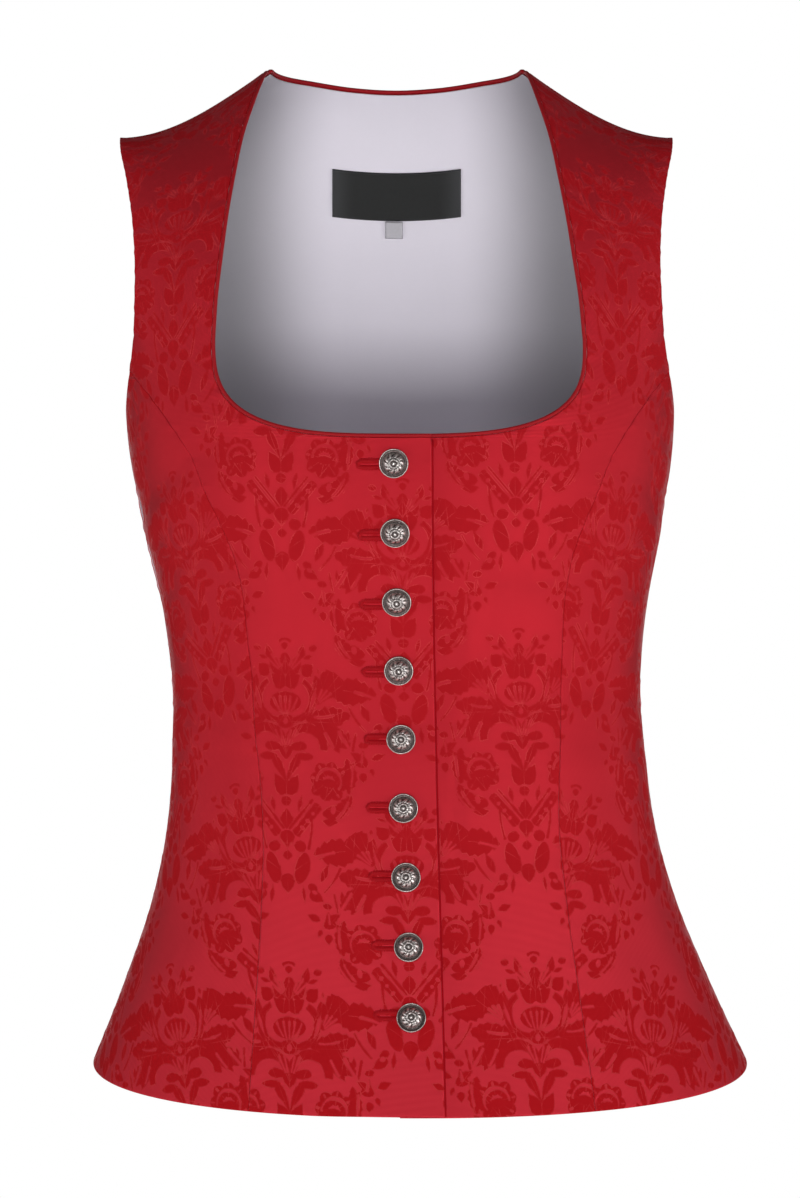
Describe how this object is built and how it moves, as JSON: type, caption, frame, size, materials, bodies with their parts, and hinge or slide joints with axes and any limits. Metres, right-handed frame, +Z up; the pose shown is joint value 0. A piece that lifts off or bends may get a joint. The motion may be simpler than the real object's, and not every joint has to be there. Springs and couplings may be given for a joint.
{
  "type": "dirndl bodice",
  "caption": "Sleeveless fitted folk-dress bodice in red damask with a deep rounded neckline, princess seams and a metal-buttoned front, held in its worn, hollow form.",
  "frame": {"origin": "midway between the neck ends of the two shoulder seams, where the shoulders carry the garment", "axes": "+Z up along the wearer's body, +X to the wearer's left, the buttoned front faces -Y"},
  "size_m": [0.37, 0.2464, 0.5813],
  "materials": {
    "damask": "satin-ground jacquard damask",
    "piping": "satin, cut on the bias over a cord",
    "lining": "plain woven lining",
    "label": "woven tape, blank",
    "size_tab": "woven tape, blank",
    "button": "antique silver plate, cast and darkened in its recesses"
  },
  "bodies": {
    "root": {"front_right": "damask", "front_left": "damask", "side_front_right": "damask", "side_front_left": "damask", "side_back_right": "damask", "side_back_left": "damask", "back": "damask", "piping_right": "piping", "piping_left": "piping", "piping_back": "piping", "lining_back": "lining", "label": "label", "size_tab": "size_tab", "button_1": "button", "button_2": "button", "button_3": "button", "button_4": "button", "button_5": "button", "button_6": "button", "button_7": "button", "button_8": "button", "button_9": "button"}
  },
  "joints": []
}
